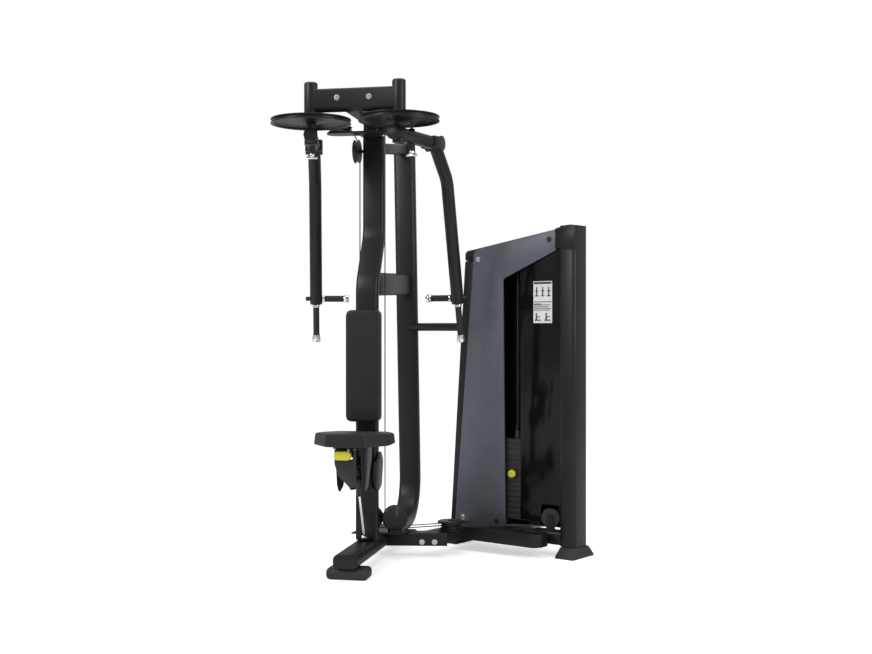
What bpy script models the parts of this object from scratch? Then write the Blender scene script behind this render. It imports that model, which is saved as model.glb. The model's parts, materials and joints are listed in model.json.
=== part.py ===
"""A pec deck machine with a weight stack, in metres, +Z up. The origin is under the middle of the front foot."""

import math

import bmesh
import bpy
from mathutils import Matrix, Vector

# Driving dimensions, in metres. Places are measured from the line between the two arm pivots:
# +X to the tower's side, +Y to the back of the machine.
GAP = 0.0003
FOOT_TO_PIVOT = 0.09
PIVOT_X = 0.193
CAM_Z = 1.9275
CAM_RADIUS = 0.172
CAM_CABLE_RADIUS = 0.166
CABLE_RADIUS = 0.0028
CABLE_SIDES = 2
PIVOT_TOP = 2.095
SHAFT_RADIUS = 0.0155
RUN = 0.0004

COLUMN_WIDTH = 0.100
COLUMN_DEPTH = 0.050
COLUMN_Y = 0.22
COLUMN_TOP_Y = 0.348
COLUMN_TOP = 1.905
REAR_TOP = 1.975
BASE_WIDTH = 0.108
BASE_HEIGHT = 0.060
BASE_LOW = 0.050
BASE_TOP = BASE_LOW + BASE_HEIGHT
REAR_LEAN = 0.0815

ARM_REST_ANGLE = math.radians(14.5)
ARM_Z = 1.865
ARM_TUBE_RADIUS = 0.029
ELBOW_R = 0.348
ELBOW_Z = 1.870
HANDLE_R = 0.600
ARM_END_Z = 1.160
PLUNGER_R = 0.120
INDEX_STEP = math.radians(15)
INDEX_HOLES = 6

SHEAVE_ROPE = 0.050
LEFT_CABLE_X = -0.0775
RIGHT_CABLE_X = 0.040
GUIDE_Y = 0.230

TOWER_PLACE = (0.2897, 0.8205, 0.0)
TOWER_TURN = math.radians(-27)
STACK_T = 0.334
STACK_N = 0.050
PLATE_PITCH = 0.025
STACK_LOW = 0.148
PLATES_DOWN = 8
PLATES_LIFTED = 7
RAIL_SLOPE = 0.1615
ROD_BRIDGE = 1.350
RAIL_END = 0.5955
LEFT_TOP = 1.3696
RISE_T = 0.552

FINISHES = {
    "frame_paint": ((0.022, 0.022, 0.024), 0.38, 0.0),
    "panel_paint": ((0.125, 0.135, 0.155), 0.42, 0.0),
    "gloss_black": ((0.008, 0.008, 0.009), 0.12, 0.0),
    "upholstery": ((0.020, 0.020, 0.021), 0.55, 0.0),
    "grip_rubber": ((0.025, 0.025, 0.026), 0.75, 0.0),
    "foot_rubber": ((0.028, 0.028, 0.030), 0.65, 0.0),
    "chrome": ((0.78, 0.78, 0.80), 0.12, 1.0),
    "plate_iron": ((0.030, 0.030, 0.032), 0.50, 0.3),
    "pulley_plastic": ((0.020, 0.020, 0.021), 0.45, 0.0),
    "cable_coat": ((0.012, 0.012, 0.012), 0.40, 0.0),
    "yellow_plastic": ((0.72, 0.62, 0.03), 0.35, 0.0),
}


# ---------------------------------------------------------------- scene, finishes and placing


def clear_scene():
    for obj in list(bpy.data.objects):
        bpy.data.objects.remove(obj, do_unlink=True)


def new_collection(name, hidden):
    made = bpy.data.collections.new(name)
    made.hide_render = hidden
    bpy.context.scene.collection.children.link(made)
    return made


def make_finishes():
    for name, (colour, roughness, metallic) in FINISHES.items():
        made = bpy.data.materials.new(name)
        made.use_nodes = True
        shader = made.node_tree.nodes["Principled BSDF"]
        shader.inputs["Base Color"].default_value = (*colour, 1.0)
        shader.inputs["Roughness"].default_value = roughness
        shader.inputs["Metallic"].default_value = metallic
        made.diffuse_color = (*colour, 1.0)


def empty(name, place, turn=0.0, parent=None):
    made = bpy.data.objects.new(name, None)
    made.location = place
    made.rotation_euler = (0, 0, turn)
    made.parent = parent
    PARTS.objects.link(made)
    bpy.context.view_layer.update()
    return made


def along(axis):
    """The turn that takes +Z to the given direction."""
    return Vector((0, 0, 1)).rotation_difference(Vector(axis).normalized()).to_matrix().to_4x4()


def put(mesh, place=(0, 0, 0), turn=None):
    """A loose solid: a mesh object in the helper collection, moved by changing its points."""
    made = bpy.data.objects.new(mesh.name, mesh)
    HELPERS.objects.link(made)
    made.hide_render = True
    made.display_type = "WIRE"
    mesh.transform(Matrix.Translation(place) @ (turn or Matrix.Identity(4)))
    return made


def node(name, solid, finish, parent, origin=(0, 0, 0)):
    """Makes a loose solid a named sub-part, with its origin at the given local point."""
    solid.name = name
    solid.data.name = name
    solid.data.transform(Matrix.Translation(-Vector(origin)))
    solid.location = origin
    solid.parent = parent
    solid.hide_render = False
    solid.display_type = "TEXTURED"
    HELPERS.objects.unlink(solid)
    PARTS.objects.link(solid)
    solid.data.materials.clear()
    solid.data.materials.append(bpy.data.materials[finish])
    solid.data.shade_smooth()
    solid.data.set_sharp_from_angle(angle=math.radians(35))
    bpy.context.view_layer.update()
    return solid


def apply_modifiers(solid):
    bpy.context.view_layer.update()
    graph = bpy.context.evaluated_depsgraph_get()
    mesh = bpy.data.meshes.new_from_object(solid.evaluated_get(graph))
    solid.modifiers.clear()
    solid.data = mesh
    return solid


def combine(target, others, operation):
    """Joins or cuts the target with each other loose solid, which is then removed."""
    for other in others:
        step = target.modifiers.new(operation.lower(), "BOOLEAN")
        step.operation = operation
        step.object = other
        apply_modifiers(target)
        bpy.data.objects.remove(other, do_unlink=True)
    return target


def join(target, *others):
    return combine(target, others, "UNION")


def cut(target, *others):
    return combine(target, others, "DIFFERENCE")


def grown(obj, parent, gap=GAP):
    """A copy of a placed sub-part, in the parent's frame, with its faces moved out by the gap."""
    bpy.context.view_layer.update()
    mesh = obj.data.copy()
    mesh.transform(parent.matrix_world.inverted() @ obj.matrix_world)
    made = put(mesh)
    shell = bmesh.new()
    shell.from_mesh(mesh)
    bmesh.ops.remove_doubles(shell, verts=shell.verts, dist=1e-6)
    shell.normal_update()
    for vert in shell.verts:
        vert.co += vert.normal * vert.calc_shell_factor() * gap
    shell.to_mesh(mesh)
    shell.free()
    return made


# ---------------------------------------------------------------- solids


def bevelled(solid, width, segments=2, angle=40):
    step = solid.modifiers.new("round", "BEVEL")
    step.width = width
    step.segments = segments
    step.limit_method = "ANGLE"
    step.angle_limit = math.radians(angle)
    return apply_modifiers(solid)


def box(low, high, rounded=0.0, segments=2):
    shell = bmesh.new()
    bmesh.ops.create_cube(shell, size=1.0)
    size = Vector(high) - Vector(low)
    bmesh.ops.scale(shell, vec=size, verts=shell.verts)
    mesh = bpy.data.meshes.new("box")
    shell.to_mesh(mesh)
    shell.free()
    made = put(mesh, (Vector(low) + Vector(high)) / 2)
    return bevelled(made, rounded, segments) if rounded else made


def rod(start, end, radius, sides=16):
    shell = bmesh.new()
    start, end = Vector(start), Vector(end)
    bmesh.ops.create_cone(
        shell,
        cap_ends=True,
        segments=sides,
        radius1=radius,
        radius2=radius,
        depth=(end - start).length,
    )
    mesh = bpy.data.meshes.new("rod")
    shell.to_mesh(mesh)
    shell.free()
    return put(mesh, (start + end) / 2, along(end - start))


def turned(profile, place=(0, 0, 0), axis=(0, 0, 1), steps=24):
    """A solid of revolution. The profile's (radius, height) points run down its outer side."""
    mesh = bpy.data.meshes.new("turned")
    points = [(radius, 0, height) for radius, height in profile]
    mesh.from_pydata(points, [(i, i + 1) for i in range(len(points) - 1)], [])
    made = put(mesh)
    step = made.modifiers.new("turn", "SCREW")
    step.steps = steps
    step.render_steps = steps
    step.use_merge_vertices = True
    step.merge_threshold = 0.00001
    apply_modifiers(made)
    made.data.transform(Matrix.Translation(place) @ along(axis))
    return made


def curve_solid(curve):
    """The closed mesh of a curve, with its caps welded on."""
    guide = bpy.data.objects.new("guide", curve)
    HELPERS.objects.link(guide)
    bpy.context.view_layer.update()
    graph = bpy.context.evaluated_depsgraph_get()
    mesh = bpy.data.meshes.new_from_object(guide.evaluated_get(graph))
    bpy.data.objects.remove(guide, do_unlink=True)
    shell = bmesh.new()
    shell.from_mesh(mesh)
    bmesh.ops.remove_doubles(shell, verts=shell.verts, dist=0.00002)
    bmesh.ops.recalc_face_normals(shell, faces=shell.faces)
    shell.to_mesh(mesh)
    shell.free()
    return mesh


def poly_curve(points, closed, flat):
    curve = bpy.data.curves.new("curve", "CURVE")
    curve.dimensions = "2D" if flat else "3D"
    spline = curve.splines.new("POLY")
    spline.points.add(len(points) - 1)
    for item, point in zip(spline.points, points):
        item.co = (*point, 1) if len(point) == 3 else (*point, 0, 1)
    spline.use_cyclic_u = closed
    return curve


def rounded_outline(corners, radii, steps=3):
    """A closed outline with each corner replaced by an arc of its own radius."""
    count = len(corners)
    if not isinstance(radii, (list, tuple)):
        radii = [radii] * count
    made = []
    for i, radius in enumerate(radii):
        here = Vector(corners[i])
        made += fillet(Vector(corners[i - 1]), here, Vector(corners[(i + 1) % count]), radius, steps)
    return made


def fillet(before, here, after, radius, steps):
    """The arc that rounds the corner at here, as a list of points."""
    if radius <= 0:
        return [here]
    to_before = (before - here).normalized()
    to_after = (after - here).normalized()
    half = to_before.angle(to_after) / 2
    reach = radius / math.tan(half)
    centre = here + (to_before + to_after).normalized() * radius / math.sin(half)
    first = here + to_before * reach - centre
    last = here + to_after * reach - centre
    sweep = first.angle(last)
    arc = []
    for k in range(steps + 1):
        share = k / steps
        arc.append(
            centre
            + first * math.sin((1 - share) * sweep) / math.sin(sweep)
            + last * math.sin(share * sweep) / math.sin(sweep)
        )
    return arc


def smooth_path(points, radius, steps=6):
    points = [Vector(p) for p in points]
    made = [points[0]]
    for before, here, after in zip(points, points[1:], points[2:]):
        made += fillet(before, here, after, radius, steps)
    return made + [points[-1]]


def slab(corners, radii, low, high, turn=None, place=(0, 0, 0), steps=3):
    """A flat outline in its own XY plane, thick from low to high along its own Z."""
    curve = poly_curve(rounded_outline(corners, radii, steps), True, True)
    curve.fill_mode = "BOTH"
    curve.extrude = (high - low) / 2
    mesh = curve_solid(curve)
    mesh.transform(Matrix.Translation((0, 0, (low + high) / 2)))
    return put(mesh, place, turn)


def oval(width, height, radius, steps=4):
    half_w, half_h = width / 2, height / 2
    corners = [(half_w, half_h), (-half_w, half_h), (-half_w, -half_h), (half_w, -half_h)]
    return rounded_outline(corners, radius, steps)


def bar(start, end, width, height, radius, up=(0, 0, 1), steps=3):
    """A straight bar. Its height is along up, its width across."""
    start, end = Vector(start), Vector(end)
    forward = (end - start).normalized()
    across = Vector(up).cross(forward).normalized()
    upright = forward.cross(across)
    turn = Matrix((across, upright, forward)).transposed().to_4x4()
    curve = poly_curve(oval(width, height, radius, steps), True, True)
    curve.fill_mode = "BOTH"
    curve.extrude = (end - start).length / 2
    return put(curve_solid(curve), (start + end) / 2, turn)


def bent_oval(path, width, height, radius, steps=4):
    """An oval tube swept along a path in the YZ plane, with its width along X."""
    section = bpy.data.objects.new("section", poly_curve(oval(width, height, radius, steps), True, True))
    HELPERS.objects.link(section)
    curve = poly_curve(path, False, False)
    curve.bevel_mode = "OBJECT"
    curve.bevel_object = section
    curve.use_fill_caps = True
    curve.twist_mode = "MINIMUM"
    mesh = curve_solid(curve)
    bpy.data.objects.remove(section, do_unlink=True)
    return put(mesh)


def tube(path, radius, resolution=4):
    curve = poly_curve(path, False, False)
    curve.bevel_depth = radius
    curve.bevel_resolution = resolution
    curve.use_fill_caps = True
    return put(curve_solid(curve))


def side_slab(corners, radii, low_x, high_x, steps=2):
    """An outline given as (y, z) points, thick from low_x to high_x."""
    turn = Matrix(((0, 0, 1), (1, 0, 0), (0, 1, 0))).to_4x4()
    return slab(corners, radii, low_x, high_x, turn, steps=steps)


def front_slab(corners, radii, low_y, high_y, steps=3):
    """An outline given as (x, z) points, thick from low_y to high_y."""
    turn = Matrix(((1, 0, 0), (0, 0, -1), (0, 1, 0))).to_4x4()
    return slab(corners, radii, -high_y, -low_y, turn, steps=steps)


def sheave(rope, flange, width, grooves, bore, place, axis, steps=20):
    """A pulley wheel with one or more grooves, turned round its axis, with a bore."""
    half = width / 2
    pitch = width / grooves
    profile = [(bore, half), (flange, half)]
    for k in range(grooves):
        middle = half - pitch * (k + 0.5)
        profile += [(rope - 0.0037, middle + 0.0026), (rope - 0.0037, middle - 0.0026)]
        profile.append((flange, middle - pitch / 2))
    profile += [(bore, -half), (bore, half)]
    return turned(profile, place, axis, steps)


# ---------------------------------------------------------------- cable routes


def arc_places(radius, start, end, count):
    """Points whose joining lines touch an arc of this radius from outside, as (along, across) pairs."""
    step = (end - start) / count
    reach = radius / math.cos(step / 2)
    angles = [start + step * (k + 0.5) for k in range(count)]
    return [Vector((math.cos(angle), math.sin(angle))) * reach for angle in angles]


def arc_points(centre, radius, start, end, count):
    return [Vector(centre) + place for place in arc_places(radius, start, end, count)]


def tangent_angle(point, centre, radius, left):
    """The angle at which a line from the point first touches the circle, passing it on its left or right."""
    gap = Vector(centre) - Vector(point)
    lean = math.asin(radius / gap.length)
    heading = math.atan2(gap.y, gap.x) + (lean if left else -lean)
    return heading + (math.pi / 2 if left else -math.pi / 2)


# ---------------------------------------------------------------- main frame


def base_and_rear_column(machine):
    corner = (0, 1.1316, 0.08)
    top = (0, corner[1] - REAR_LEAN * (REAR_TOP - 0.08), REAR_TOP)
    path = smooth_path([(0, -0.150, 0.08), corner, top], 0.20, 9)
    solid = bent_oval(path, BASE_WIDTH, BASE_HEIGHT, 0.024, 5)
    return node("base_and_rear_column", solid, "frame_paint", machine)


def front_column(machine):
    path = [(0, COLUMN_Y, BASE_TOP + GAP), (0, COLUMN_Y, 1.237)]
    path += [(0, COLUMN_TOP_Y, 1.464), (0, COLUMN_TOP_Y, COLUMN_TOP)]
    solid = bent_oval(smooth_path(path, 0.16, 5), COLUMN_WIDTH, COLUMN_DEPTH, 0.016, 4)
    y, z = LEFT_TOP_CENTRE
    join(solid, rod((0, y, z), (LEFT_CABLE_X - 0.014, y, z), 0.0075))
    return node("front_column", solid, "frame_paint", machine)


def braces(machine, front, rear):
    mid = bar((0, COLUMN_Y, 1.240), (0, 1.04, 1.266), 0.055, 0.105, 0.014)
    cut(mid, grown(front, machine), grown(rear, machine))
    keep_longest(mid, 1)
    node("mid_brace", mid, "frame_paint", machine)
    top = bar((0, COLUMN_TOP_Y, 1.858), (0, 0.980, 1.944), 0.050, 0.050, 0.012)
    cut(top, grown(front, machine), grown(rear, machine))
    node("top_brace", top, "frame_paint", machine)


def pivot_housing(side):
    """A closed tube, open below, that the cam's shaft turns in."""
    bore = SHAFT_RADIUS + RUN
    profile = [(0, 2.095), (0.024, 2.095), (0.029, 2.090), (0.029, 1.943), (bore, 1.943), (bore, 2.084), (0, 2.084)]
    return turned(profile, (side * PIVOT_X, 0, 0), steps=24)


def crossbeam(machine):
    """The beam between the two pivot tubes, with the carrier beam that joins it to the front column."""
    beam = bar((-PIVOT_X + 0.01, 0, 2.016), (PIVOT_X - 0.01, 0, 2.016), 0.050, 0.100, 0.018, steps=4)
    cut(beam, rod((-PIVOT_X, 0, 1.9), (-PIVOT_X, 0, 2.2), 0.022), rod((PIVOT_X, 0, 1.9), (PIVOT_X, 0, 2.2), 0.022))
    y, z = RIGHT_TOP_CENTRE
    carrier = bar((-0.015, 0.005, 2.012), (-0.015, 0.410, 2.012), 0.070, 0.090, 0.012)
    post = box((-0.046, 0.326, COLUMN_TOP + 0.0076), (0.020, 0.370, 1.975), 0.004)
    axle = rod((0, y, z), (RIGHT_CABLE_X + 0.012, y, z), 0.0075)
    join(beam, pivot_housing(-1), pivot_housing(1), carrier, post, axle)
    return node("crossbeam", beam, "frame_paint", machine)


def guide_plate(machine):
    """The plate under the two guide pulleys. It rests on the front column and carries their axles."""
    low, high = COLUMN_TOP + GAP, COLUMN_TOP + 0.0070
    corners = [(-0.185, 0.175), (0.140, 0.175), (0.140, 0.268), (0.048, 0.268)]
    corners += [(0.048, 0.3735), (-0.048, 0.3735), (-0.048, 0.268), (-0.185, 0.268)]
    plate = slab(corners, [0.045, 0.045, 0.045, 0.012, 0.006, 0.006, 0.012, 0.045], low, high)
    for x in (LEFT_CABLE_X - SHEAVE_ROPE, RIGHT_CABLE_X + SHEAVE_ROPE):
        join(plate, rod((x, GUIDE_Y, 1.908), (x, GUIDE_Y, 1.945), 0.0075, 16))
    return node("guide_pulley_plate", plate, "frame_paint", machine)


def feet_of_main_frame(machine):
    y = -FOOT_TO_PIVOT
    solid = box((-0.090, y - 0.050, 0), (0.090, y + 0.050, BASE_LOW - GAP), 0.018, 3)
    cut(solid, box((-0.2, -0.4, -0.05), (0.2, 0.3, 0.0)))
    node("front_foot", solid, "foot_rubber", machine)
    solid = box((-0.085, 0.80, 0), (0.085, 0.90, BASE_LOW - GAP), 0.014, 3)
    node("rear_foot", solid, "foot_rubber", machine)


def cross_leg(machine, base):
    leg = bar((0.0, 0.4325, 0.08), (0.3115, 0.4815, 0.08), 0.084, 0.060, 0.012)
    cut(leg, grown(base, machine))
    return node("cross_leg", leg, "frame_paint", machine)


def tower_front_beam(tower, leg):
    """The tube from the cross leg to the tower, with the flat-topped beam in front of the weights."""
    solid = bar((0.105, -0.330, 0.08), (0.105, 0.0035, 0.08), 0.090, 0.060, 0.012)
    cut(solid, grown(leg, tower))
    keep_longest(solid, 1)
    corners = [(0.120, -0.1265), (0.556, -0.1265), (0.556, -0.0070), (0.120, -0.0070)]
    front = slab(corners, [0, 0.045, 0.045, 0], BASE_LOW + 0.0002, BASE_TOP - 0.0002, steps=5)
    bevelled(front, 0.012, 2, 60)
    join(solid, front)
    return node("tower_front_beam", solid, "frame_paint", tower)


def loose_parts(solid):
    """The connected groups of points of a mesh."""
    shell = bmesh.new()
    shell.from_mesh(solid.data)
    shell.verts.ensure_lookup_table()
    seen = set()
    groups = []
    for vert in shell.verts:
        if vert.index in seen:
            continue
        group, todo = set(), [vert]
        while todo:
            here = todo.pop()
            if here.index in group:
                continue
            group.add(here.index)
            todo += [edge.other_vert(here) for edge in here.link_edges]
        seen |= group
        groups.append(group)
    shell.free()
    return groups


def keep_longest(solid, way):
    """Keeps only the connected group that is longest along X (0) or Y (1)."""

    def length(group):
        places = [solid.data.vertices[i].co[way] for i in group]
        return max(places) - min(places)

    kept = max(loose_parts(solid), key=length)
    shell = bmesh.new()
    shell.from_mesh(solid.data)
    shell.verts.ensure_lookup_table()
    bmesh.ops.delete(shell, geom=[v for v in shell.verts if v.index not in kept], context="VERTS")
    shell.to_mesh(solid.data)
    shell.free()


def side_tube(machine, rear, upright):
    solid = tube([(0.0, 1.045, 1.05), (0.360, 0.838, 1.05)], 0.020, 4)
    cut(solid, grown(rear, machine), grown(upright, machine))
    keep_longest(solid, 1)
    return node("side_tube", solid, "frame_paint", machine)


# ---------------------------------------------------------------- pads and seat


def back_pad(machine):
    corners = [(-0.0785, 0.634), (0.0765, 0.634), (0.0765, 1.127), (-0.0785, 1.127)]
    solid = front_slab(corners, 0.022, 0.1275, 0.1943, 4)
    bevelled(solid, 0.008, 2)
    return node("back_pad", solid, "upholstery", machine)


def seat_pad(machine):
    """A six-sided pad, widest in the middle and thicker at the front."""
    half = [(0.084, -0.168), (0.168, -0.055), (0.168, 0.060), (0.125, 0.168)]
    corners = half + [(-x, y) for x, y in reversed(half)]
    solid = slab(corners, [0.014, 0.022, 0.04, 0.04, 0.04, 0.04, 0.022, 0.014], 0.5505, 0.600, steps=3)
    for vert in solid.data.vertices:
        if vert.co.z > 0.58:
            vert.co.z = 0.6025 - 0.055 * vert.co.y
            vert.co.x *= 0.965
            vert.co.y *= 0.975
    bevelled(solid, 0.009, 2)
    return node("seat_pad", solid, "upholstery", machine)


BRACKET_PINS = ((0.100, 0.430), (0.100, 0.370))
CARRIAGE_PINS = ((-0.045, 0.469), (-0.045, 0.409))
SPRING_TOP = (0.0, 0.512)
SPRING_FOOT = (0.165, 0.128)


def seat_bracket(machine):
    """Ears on the front column that hold the two seat links, and the gas spring's lower ear."""
    corners = [(0.078, 0.345), (0.1945, 0.335), (0.1945, 0.465), (0.078, 0.455)]
    solid = box((-0.044, 0.186, 0.120), (0.044, 0.1945, 0.465), 0.0)
    for low, high in ((-0.044, -0.038), (0.038, 0.044)):
        join(solid, side_slab(corners, [0.018, 0.002, 0.002, 0.018], low, high))
    for y, z in BRACKET_PINS:
        join(solid, rod((-0.044, y, z), (0.044, y, z), 0.008, 16))
    join(solid, box((-0.0560, 0.187, 0.350), (0.0560, 0.1945, 0.462)))
    outer = [(0.104, 0.395), (0.150, 0.345), (0.215, 0.330), (0.262, 0.350), (0.288, 0.455)]
    outer += [(0.250, 0.498), (0.205, 0.498), (0.185, 0.470), (0.112, 0.462)]
    for low, high in ((-0.0563, -0.0503), (0.0503, 0.0563)):
        join(solid, side_slab(outer, [0.015, 0.02, 0.03, 0.02, 0.02, 0.015, 0.01, 0.01, 0.01], low, high))
    y, z = SPRING_FOOT
    ear = [(y - 0.016, z - 0.008), (0.190, z - 0.008), (0.190, z + 0.020), (y - 0.016, z + 0.016)]
    for low, high in ((-0.018, -0.012), (0.012, 0.018)):
        join(solid, side_slab(ear, [0.006, 0, 0, 0.010], low, high))
    join(solid, rod((-0.018, y, z), (0.018, y, z), 0.005, 12))
    return node("seat_bracket", solid, "frame_paint", machine)


def seat_link(machine, name, inner, outer):
    """Two side bars with bored barrels: a split one on the bracket's pin, a whole one on the carriage's."""
    (y0, z0), (y1, z1) = inner, outer
    solid = rod((-0.0372, y0, z0), (0.0372, y0, z0), 0.014, 20)
    join(solid, rod((-0.0372, y1, z1), (0.0372, y1, z1), 0.014, 20))
    for x in (-0.029, 0.029):
        join(solid, bar((x, y0, z0), (x, y1, z1), 0.012, 0.020, 0.003))
    cut(solid, box((-0.0135, y0 - 0.03, z0 - 0.03), (0.0135, y0 + 0.03, z0 + 0.03)))
    for y, z in (inner, outer):
        cut(solid, rod((-0.05, y, z), (0.05, y, z), 0.008 + RUN, 16))
    return node(name, solid, "frame_paint", machine, (0, y0, z0))


def seat_carriage(machine):
    """The bracket under the seat: a top plate, two shield-shaped side plates, link pins and a front cover."""
    solid = box((-0.068, -0.095, 0.540), (0.068, 0.040, 0.550), 0.0)
    corners = [(-0.095, 0.545), (-0.095, 0.500), (-0.075, 0.385), (-0.045, 0.352)]
    corners += [(0.010, 0.372), (0.075, 0.490), (0.075, 0.5395), (0.030, 0.545)]
    for low, high in ((-0.057, -0.0515), (0.0515, 0.057)):
        join(solid, side_slab(corners, [0, 0.02, 0.02, 0.015, 0.02, 0.02, 0.004, 0], low, high, 3))
    for y, z in CARRIAGE_PINS:
        join(solid, rod((-0.055, y, z), (0.055, y, z), 0.008, 16))
    y, z = SPRING_TOP
    for low, high in ((-0.020, -0.0135), (0.0135, 0.020)):
        join(solid, side_slab([(-0.014, 0.498), (0.014, 0.498), (0.014, 0.545), (-0.014, 0.545)], [0.01, 0.01, 0, 0], low, high))
    for low, high in ((-0.026, -0.0205), (0.0065, 0.012)):
        join(solid, box((low, -0.071, 0.503), (high, -0.053, 0.545)))
    join(solid, rod((-0.026, -0.062, 0.512), (0.012, -0.062, 0.512), 0.004, 12))
    return node("seat_carriage", solid, "frame_paint", machine, (0, *CARRIAGE_PINS[0]))


def seat_shield(machine):
    """A plastic cover in front of the seat's links, with a window for the lever."""
    corners = [(-0.060, 0.5395), (-0.060, 0.480), (-0.046, 0.432), (0.010, 0.376), (0.034, 0.386), (0.034, 0.5395)]
    solid = front_slab(corners, [0.003, 0.03, 0.02, 0.010, 0.012, 0.003], -0.104, -0.0955, 3)
    cut(solid, box((-0.048, -0.12, 0.498), (0.022, -0.08, 0.5345)))
    return node("seat_shield", solid, "pulley_plastic", machine)


def seat_lever(machine):
    """A yellow paddle under the front of the seat, hinged on a cross pin behind it."""
    corners = [(-0.054, 0.4970), (0.015, 0.4970), (0.015, 0.5335), (-0.054, 0.5335)]
    paddle = front_slab(corners, 0.013, -0.1330, -0.1100, 4)
    bevelled(paddle, 0.004, 2)
    arm = box((-0.016, -0.118, 0.507), (0.002, -0.062, 0.517), 0.0)
    knuckle = rod((-0.020, -0.062, 0.512), (0.006, -0.062, 0.512), 0.008, 16)
    join(paddle, arm, knuckle)
    cut(paddle, rod((-0.03, -0.062, 0.512), (0.02, -0.062, 0.512), 0.004 + RUN, 12))
    return node("seat_lever", paddle, "yellow_plastic", machine, (0, -0.062, 0.512))


def gas_spring(machine):
    foot = Vector((0, *SPRING_FOOT))
    top = Vector((0, *SPRING_TOP))
    run = (top - foot).normalized()
    solid = rod(foot - Vector((0.0115, 0, 0)), foot + Vector((0.0115, 0, 0)), 0.010, 16)
    join(solid, rod(foot + run * 0.004, foot + run * 0.300, 0.0048, 14))
    cut(solid, rod(foot - Vector((0.02, 0, 0)), foot + Vector((0.02, 0, 0)), 0.005 + RUN, 12))
    node("gas_spring_rod", solid, "chrome", machine, foot)
    mouth = (top - foot).length - 0.205
    profile = [(0, 0.205), (0.006, 0.205), (0.006, 0.185), (0.011, 0.183), (0.011, 0), (0.0054, 0), (0.0054, 0.165)]
    solid = turned(profile + [(0, 0.165)], foot + run * mouth, run, 16)
    join(solid, rod(top - Vector((0.012, 0, 0)), top + Vector((0.012, 0, 0)), 0.010, 16))
    node("gas_spring_cylinder", solid, "pulley_plastic", machine, top)


# ---------------------------------------------------------------- cams and arms


def cam(machine, name, side):
    """A grooved disc on a hub, with its shaft above and its link pin below."""
    profile = [(0, 0.150), (SHAFT_RADIUS, 0.150), (SHAFT_RADIUS, 0.0145), (0.030, 0.0145), (0.034, 0.0105)]
    profile += [(CAM_RADIUS, 0.0105), (CAM_RADIUS, 0.0068), (0.1620, 0.0028), (0.1620, -0.0028)]
    profile += [(CAM_RADIUS, -0.0068), (CAM_RADIUS, -0.0105), (0.158, -0.0105), (0.150, -0.0020)]
    profile += [(0.050, -0.0020), (0.022, -0.0140), (0.022, -0.0315), (SHAFT_RADIUS, -0.0315)]
    profile += [(SHAFT_RADIUS, -0.1000), (0, -0.1000)]
    solid = turned(profile, (0, 0, CAM_Z), steps=44)
    rest = math.pi / 2 - side * ARM_REST_ANGLE
    for k in range(INDEX_HOLES):
        angle = rest - side * INDEX_STEP * k
        x, y = PLUNGER_R * math.cos(angle), PLUNGER_R * math.sin(angle)
        cut(solid, rod((x, y, CAM_Z - 0.03), (x, y, CAM_Z + 0.03), 0.0078, 10))
    return node(name, solid, "frame_paint", machine)


def arm_link(axis, name):
    """The tube from the pivot to the elbow, with its hub, the plunger's sleeve, the elbow's ears and its pin."""
    hub_low, hub_high = ARM_Z - 0.0365, CAM_Z - 0.0315 - GAP
    solid = rod((0, 0, hub_low), (0, 0, hub_high), 0.0280, 24)
    join(solid, tube([(-0.060, 0, ARM_Z - 0.001), (0.300, 0, ELBOW_Z)], 0.030, 4))
    join(solid, box((0.282, -0.0375, ELBOW_Z - 0.027), (0.3125, 0.0375, ELBOW_Z + 0.027), 0.004))
    for low, high in ((-0.0385, -0.0312), (0.0312, 0.0385)):
        ear = rod((ELBOW_R, low, ELBOW_Z), (ELBOW_R, high, ELBOW_Z), 0.034, 20)
        join(solid, ear, box((0.295, low, ELBOW_Z - 0.024), (ELBOW_R, high, ELBOW_Z + 0.024)))
    join(solid, rod((ELBOW_R, -0.035, ELBOW_Z), (ELBOW_R, 0.035, ELBOW_Z), 0.010, 16))
    join(solid, rod((PLUNGER_R, 0, 1.812), (PLUNGER_R, 0, 1.903), 0.014, 14))
    cut(solid, rod((0, 0, 1.7), (0, 0, 2.0), SHAFT_RADIUS + RUN, 24))
    cut(solid, rod((PLUNGER_R, 0, 1.7), (PLUNGER_R, 0, 2.0), 0.0064, 14))
    return node(name, solid, "frame_paint", axis)


def index_plunger(axis, name):
    """The sprung pin that locks the arm to the cam, with a T handle below."""
    solid = rod((PLUNGER_R, 0, 1.790), (PLUNGER_R, 0, 1.9245), 0.0060, 14)
    join(solid, turned([(0, 1.8085), (0.010, 1.8085), (0.012, 1.8065), (0.012, 1.797), (0, 1.797)], (PLUNGER_R, 0, 0), steps=16))
    join(solid, rod((PLUNGER_R, -0.024, 1.7905), (PLUNGER_R, 0.024, 1.7905), 0.0062, 12))
    return node(name, solid, "chrome", axis, (PLUNGER_R, 0, 1.790))


def arm_tube(axis, name, inward):
    """The bent tube that hangs from the elbow and carries the two grips."""
    path = smooth_path([(0.356, 0, 1.858), (0.480, 0, 1.720), (HANDLE_R, 0, ARM_END_Z)], 0.13, 6)
    solid = tube(path, ARM_TUBE_RADIUS, 4)
    join(solid, rod((ELBOW_R, -0.0307, ELBOW_Z), (ELBOW_R, 0.0307, ELBOW_Z), 0.033, 20))
    cut(solid, rod((ELBOW_R, -0.05, ELBOW_Z), (ELBOW_R, 0.05, ELBOW_Z), 0.010 + RUN, 16))
    x = handle_x(1.1846)
    join(solid, rod((x, 0, 1.1846), (x, -inward * 0.049, 1.1846), 0.010, 16))
    return node(name, solid, "frame_paint", axis, (ELBOW_R, 0, ELBOW_Z))


def handle_x(z):
    """How far out the arm tube's centre is at a height near its lower end."""
    slope = (HANDLE_R - 0.480) / (1.720 - ARM_END_Z)
    return HANDLE_R - slope * (z - ARM_END_Z)


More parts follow.
